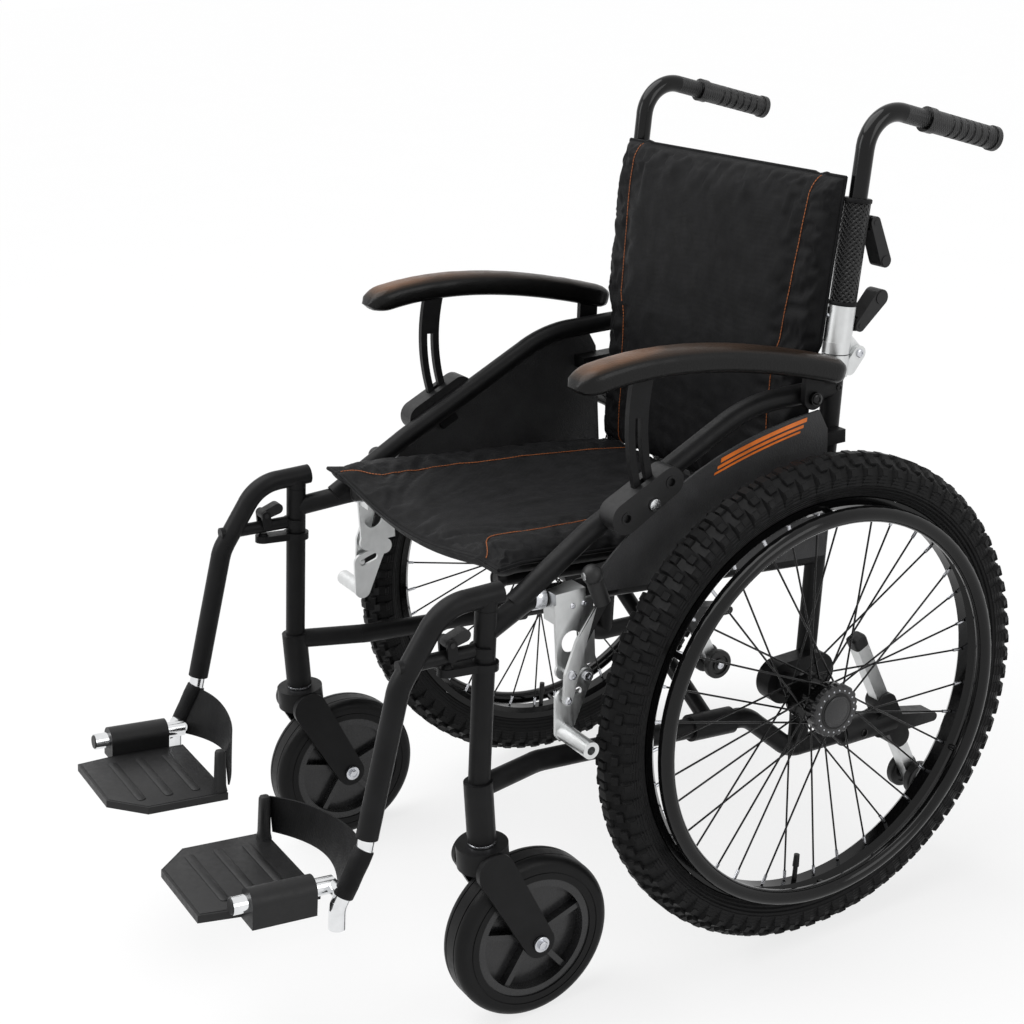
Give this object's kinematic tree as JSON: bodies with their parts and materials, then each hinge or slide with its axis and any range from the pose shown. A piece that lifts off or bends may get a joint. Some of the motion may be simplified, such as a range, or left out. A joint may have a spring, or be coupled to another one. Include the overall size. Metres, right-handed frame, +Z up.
{
  "type": "folding wheelchair",
  "caption": "Folding rough-ground wheelchair: tube side frames on a scissor brace, knobbly spoked wheels, casters, swing-away leg rests and a half-folding back.",
  "frame": {"origin": "centre of the bounding box, on the ground", "axes": "+X to the rider's left, -Y the way the chair faces, +Z up"},
  "size_m": [0.699, 1.089, 0.9849],
  "materials": {
    "frame": "matte powder coat",
    "gloss": "gloss paint",
    "alloy": "satin",
    "chrome": "polished",
    "moulding": "fine grain",
    "caster_plastic": "semi-gloss",
    "tyre": "matte tread",
    "caster_rubber": "satin solid tyre",
    "arm_pad": "leather-grained foam skin",
    "nylon": "padded woven nylon"
  },
  "bodies": {
    "right_frame": {"right_side_frame": "frame", "right_frame_fittings": "alloy", "right_arm_bracket": "moulding", "right_skirt_guard": "moulding", "right_tip_block": "moulding"},
    "left_frame": {"left_side_frame": "frame", "left_frame_fittings": "alloy", "left_arm_bracket": "moulding", "left_skirt_guard": "moulding", "left_tip_block": "moulding"},
    "right_brace": {"right_seat_brace": "frame", "seat_pad": "nylon"},
    "left_brace": {"left_seat_brace": "frame"},
    "right_wheel": {"right_tyre": "tyre", "right_rim": "gloss", "right_hub_and_spokes": "gloss", "right_handrim": "gloss"},
    "right_caster_fork": {"right_caster_fork": "moulding"},
    "right_caster_wheel": {"right_caster_tyre": "caster_rubber", "right_caster_hub": "caster_plastic"},
    "right_hanger": {"right_hanger": "frame", "right_foot_tube": "chrome"},
    "right_hanger_latch": {"right_hanger_latch": "moulding"},
    "right_footplate": {"right_footplate": "moulding", "right_heel_strap": "nylon"},
    "right_brake_lever": {"right_brake_lever": "alloy"},
    "right_brake_arm": {"right_brake_arm": "alloy"},
    "right_armrest": {"right_arm_pad": "arm_pad", "right_arm_post": "frame"},
    "right_arm_button": {"right_arm_button": "chrome"},
    "right_back_cane": {"right_back_cane": "frame", "back_pad": "nylon"},
    "right_hinge_lever": {"right_hinge_lever": "moulding"},
    "right_push_handle": {"right_push_handle": "gloss"},
    "right_clamp_lever": {"right_clamp_lever": "moulding"},
    "right_antitip_strut": {"right_antitip_strut": "alloy"},
    "right_antitip_wheels": {"right_antitip_wheels": "caster_rubber"},
    "left_wheel": {"left_tyre": "tyre", "left_rim": "gloss", "left_hub_and_spokes": "gloss", "left_handrim": "gloss"},
    "left_caster_fork": {"left_caster_fork": "moulding"},
    "left_caster_wheel": {"left_caster_tyre": "caster_rubber", "left_caster_hub": "caster_plastic"},
    "left_hanger": {"left_hanger": "frame", "left_foot_tube": "chrome"},
    "left_hanger_latch": {"left_hanger_latch": "moulding"},
    "left_footplate": {"left_footplate": "moulding", "left_heel_strap": "nylon"},
    "left_brake_lever": {"left_brake_lever": "alloy"},
    "left_brake_arm": {"left_brake_arm": "alloy"},
    "left_armrest": {"left_arm_pad": "arm_pad", "left_arm_post": "frame"},
    "left_arm_button": {"left_arm_button": "chrome"},
    "left_back_cane": {"left_back_cane": "frame"},
    "left_hinge_lever": {"left_hinge_lever": "moulding"},
    "left_push_handle": {"left_push_handle": "gloss"},
    "left_clamp_lever": {"left_clamp_lever": "moulding"},
    "left_antitip_strut": {"left_antitip_strut": "alloy"},
    "left_antitip_wheels": {"left_antitip_wheels": "caster_rubber"}
  },
  "joints": [
    {"name": "fold", "type": "hinge", "parent": "right_frame", "child": "right_brace", "pos_m": [-0.225, 0.09492, 0.27188], "axis": [0, -0.9945, 0.1045], "range_deg": [0, 40], "deforming": ["seat_pad", "back_pad", "left_heel_strap", "right_heel_strap"]},
    {"name": "brace_cross", "type": "hinge", "parent": "right_brace", "child": "left_brace", "pos_m": [0, 0.10714, 0.38815], "axis": [0, -0.9945, 0.1045], "range_deg": [-80, 0]},
    {"name": "left_rail_turn", "type": "hinge", "parent": "left_brace", "child": "left_frame", "pos_m": [0.225, 0.09492, 0.27188], "axis": [0, -0.9945, 0.1045], "range_deg": [0, 40]},
    {"name": "right_wheel_spin", "type": "hinge", "parent": "right_frame", "child": "right_wheel", "pos_m": [-0.305, 0.2075, 0.3065], "axis": [1, 0, 0], "continuous": true},
    {"name": "right_caster_swivel", "type": "hinge", "parent": "right_frame", "child": "right_caster_fork", "pos_m": [-0.252, -0.2255, 0.24], "axis": [0, 0, 1], "continuous": true},
    {"name": "right_caster_roll", "type": "hinge", "parent": "right_caster_fork", "child": "right_caster_wheel", "pos_m": [-0.252, -0.1755, 0.1], "axis": [1, 0, 0], "continuous": true},
    {"name": "right_hanger_swing", "type": "hinge", "parent": "right_frame", "child": "right_hanger", "pos_m": [-0.252, -0.2029, 0.511], "axis": [0, 0.1045, 0.9945], "range_deg": [-90, 0]},
    {"name": "right_hanger_latch_lift", "type": "hinge", "parent": "right_hanger", "child": "right_hanger_latch", "pos_m": [-0.252, -0.25142, 0.4854], "axis": [1, 0, 0], "range_deg": [0, 12], "stiffness_Nm_per_rad": 0.2, "springref_deg": -5.73},
    {"name": "right_footplate_flip", "type": "hinge", "parent": "right_hanger", "child": "right_footplate", "pos_m": [-0.23, -0.3987, 0.231], "axis": [0, -0.9925, 0.1219], "range_deg": [0, 90], "deforming": ["right_heel_strap"]},
    {"name": "right_brake_lever_turn", "type": "hinge", "parent": "right_frame", "child": "right_brake_lever", "pos_m": [-0.267, -0.10941, 0.4135], "axis": [1, 0, 0], "range_deg": [0, 40]},
    {"name": "right_brake_arm_turn", "type": "hinge", "parent": "right_frame", "child": "right_brake_arm", "pos_m": [-0.259, -0.08541, 0.4035], "axis": [1, 0, 0], "range_deg": [0, 9.5]},
    {"name": "right_armrest_lower", "type": "hinge", "parent": "right_frame", "child": "right_armrest", "pos_m": [-0.245, 0.24686, 0.662], "axis": [1, 0, 0], "range_deg": [0, 21]},
    {"name": "right_arm_button_press", "type": "slide", "parent": "right_frame", "child": "right_arm_button", "axis": [1, 0, 0], "range_m": [0, 0.003], "stiffness_N_per_m": 400, "springref_m": -0.002},
    {"name": "right_back_fold", "type": "hinge", "parent": "right_frame", "child": "right_back_cane", "pos_m": [-0.225, 0.32617, 0.70006], "axis": [-1, 0, 0], "range_deg": [0, 130], "deforming": ["back_pad"]},
    {"name": "right_hinge_lever_press", "type": "hinge", "parent": "right_back_cane", "child": "right_hinge_lever", "pos_m": [-0.225, 0.32746, 0.73257], "axis": [-1, 0, 0], "range_deg": [0, 25], "stiffness_Nm_per_rad": 0.2, "springref_deg": -5.73},
    {"name": "right_handle_rise", "type": "slide", "parent": "right_back_cane", "child": "right_push_handle", "axis": [0, 0.165, 0.9863], "range_m": [0, 0.08]},
    {"name": "right_clamp_lever_open", "type": "hinge", "parent": "right_back_cane", "child": "right_clamp_lever", "pos_m": [-0.225, 0.34751, 0.8524], "axis": [1, 0, 0], "range_deg": [0, 90]},
    {"name": "right_antitip_reach", "type": "slide", "parent": "right_frame", "child": "right_antitip_strut", "axis": [0, 0.4069, -0.9135], "range_m": [0, 0.04]},
    {"name": "right_antitip_roll", "type": "hinge", "parent": "right_antitip_strut", "child": "right_antitip_wheels", "pos_m": [-0.225, 0.43984, 0.09822], "axis": [1, 0, 0], "continuous": true},
    {"name": "left_wheel_spin", "type": "hinge", "parent": "left_frame", "child": "left_wheel", "pos_m": [0.305, 0.2075, 0.3065], "axis": [1, 0, 0], "continuous": true},
    {"name": "left_caster_swivel", "type": "hinge", "parent": "left_frame", "child": "left_caster_fork", "pos_m": [0.252, -0.2255, 0.24], "axis": [0, 0, 1], "continuous": true},
    {"name": "left_caster_roll", "type": "hinge", "parent": "left_caster_fork", "child": "left_caster_wheel", "pos_m": [0.252, -0.1755, 0.1], "axis": [1, 0, 0], "continuous": true},
    {"name": "left_hanger_swing", "type": "hinge", "parent": "left_frame", "child": "left_hanger", "pos_m": [0.252, -0.2029, 0.511], "axis": [0, 0.1045, 0.9945], "range_deg": [0, 90]},
    {"name": "left_hanger_latch_lift", "type": "hinge", "parent": "left_hanger", "child": "left_hanger_latch", "pos_m": [0.252, -0.25142, 0.4854], "axis": [1, 0, 0], "range_deg": [0, 12], "stiffness_Nm_per_rad": 0.2, "springref_deg": -5.73},
    {"name": "left_footplate_flip", "type": "hinge", "parent": "left_hanger", "child": "left_footplate", "pos_m": [0.23, -0.3987, 0.231], "axis": [0, 0.9925, -0.1219], "range_deg": [0, 90], "deforming": ["left_heel_strap"]},
    {"name": "left_brake_lever_turn", "type": "hinge", "parent": "left_frame", "child": "left_brake_lever", "pos_m": [0.267, -0.10941, 0.4135], "axis": [1, 0, 0], "range_deg": [0, 40]},
    {"name": "left_brake_arm_turn", "type": "hinge", "parent": "left_frame", "child": "left_brake_arm", "pos_m": [0.259, -0.08541, 0.4035], "axis": [1, 0, 0], "range_deg": [0, 9.5]},
    {"name": "left_armrest_lower", "type": "hinge", "parent": "left_frame", "child": "left_armrest", "pos_m": [0.245, 0.24686, 0.662], "axis": [1, 0, 0], "range_deg": [0, 21]},
    {"name": "left_arm_button_press", "type": "slide", "parent": "left_frame", "child": "left_arm_button", "axis": [-1, 0, 0], "range_m": [0, 0.003], "stiffness_N_per_m": 400, "springref_m": -0.002},
    {"name": "left_back_fold", "type": "hinge", "parent": "left_frame", "child": "left_back_cane", "pos_m": [0.225, 0.32617, 0.70006], "axis": [-1, 0, 0], "range_deg": [0, 130]},
    {"name": "left_hinge_lever_press", "type": "hinge", "parent": "left_back_cane", "child": "left_hinge_lever", "pos_m": [0.225, 0.32746, 0.73257], "axis": [-1, 0, 0], "range_deg": [0, 25], "stiffness_Nm_per_rad": 0.2, "springref_deg": -5.73},
    {"name": "left_handle_rise", "type": "slide", "parent": "left_back_cane", "child": "left_push_handle", "axis": [0, 0.165, 0.9863], "range_m": [0, 0.08]},
    {"name": "left_clamp_lever_open", "type": "hinge", "parent": "left_back_cane", "child": "left_clamp_lever", "pos_m": [0.225, 0.34751, 0.8524], "axis": [1, 0, 0], "range_deg": [0, 90]},
    {"name": "left_antitip_reach", "type": "slide", "parent": "left_frame", "child": "left_antitip_strut", "axis": [0, 0.4069, -0.9135], "range_m": [0, 0.04]},
    {"name": "left_antitip_roll", "type": "hinge", "parent": "left_antitip_strut", "child": "left_antitip_wheels", "pos_m": [0.225, 0.43984, 0.09822], "axis": [1, 0, 0], "continuous": true}
  ],
  "couplings": [
    {"joint": "brace_cross", "follows": "fold", "ratio": -2},
    {"joint": "left_rail_turn", "follows": "fold", "ratio": 1},
    {"joint": "right_footplate_flip", "follows": "fold", "ratio": 2.25},
    {"joint": "right_brake_arm_turn", "follows": "right_brake_lever_turn", "ratio": 0.2375},
    {"joint": "left_footplate_flip", "follows": "fold", "ratio": 2.25},
    {"joint": "left_brake_arm_turn", "follows": "left_brake_lever_turn", "ratio": 0.2375},
    {"joint": "left_back_fold", "follows": "right_back_fold", "ratio": 1}
  ]
}
